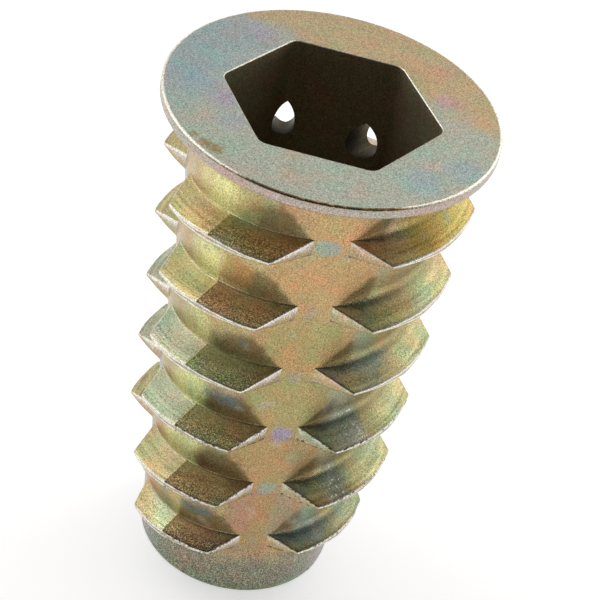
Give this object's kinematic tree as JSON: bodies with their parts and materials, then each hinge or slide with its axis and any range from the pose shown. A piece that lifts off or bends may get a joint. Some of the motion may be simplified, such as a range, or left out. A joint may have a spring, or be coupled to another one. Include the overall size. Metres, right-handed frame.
{
  "type": "threaded insert",
  "caption": "Flanged hex-drive threaded insert for wood: tapered body with a coarse notched outer thread and a machine-threaded bore.",
  "frame": {"origin": "centre of the flat tip face, on the insert's axis", "axes": "+Z along the axis from the tip to the flange; the socket's flats face +X and -X and its corners lie on the Y axis"},
  "size_m": [0.0144, 0.0144, 0.025],
  "materials": {
    "yellow_zinc": "die-cast zinc alloy with a yellow iridescent chromate, satin"
  },
  "bodies": {
    "root": {"threaded_insert": "yellow_zinc"}
  },
  "joints": []
}
